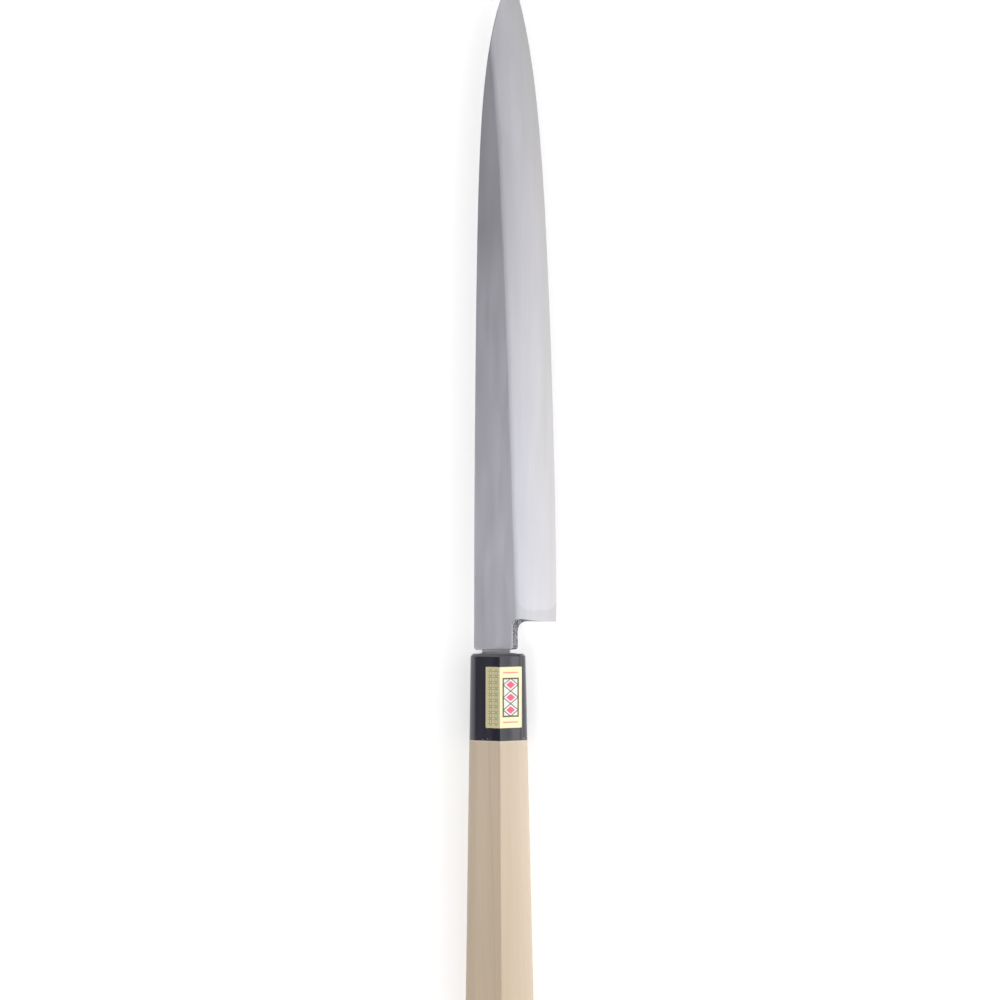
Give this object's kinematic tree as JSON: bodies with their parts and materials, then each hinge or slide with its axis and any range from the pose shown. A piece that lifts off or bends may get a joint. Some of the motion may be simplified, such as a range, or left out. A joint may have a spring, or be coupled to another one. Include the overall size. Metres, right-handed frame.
{
  "type": "yanagiba knife",
  "caption": "Long slender slicing knife with a single-bevel blade, a hollow-ground back, a dark horn ferrule and a ridged, chestnut-shaped handle of pale wood.",
  "frame": {"origin": "below the middle of the knife's bounding box, level with its lowest point, which is on the belly of the handle", "axes": "+X along the blade towards the point, -Y towards the cutting edge and +Y towards the spine, +Z out of the bevelled face; the hollow back faces -Z"},
  "size_m": [0.419, 0.0364, 0.0247],
  "materials": {
    "soft_iron": "fine satin, brushed along the flat and hazy on the bevel",
    "hard_steel": "fine satin, a little brighter than the iron",
    "horn": "polished near-black buffalo horn",
    "pale_wood": "smooth bare magnolia",
    "foil_label": "thin satin gold foil with a plain printed pattern"
  },
  "bodies": {
    "root": {"blade_body": "soft_iron", "edge_steel": "hard_steel", "ferrule": "horn", "handle": "pale_wood", "label": "foil_label"}
  },
  "joints": []
}
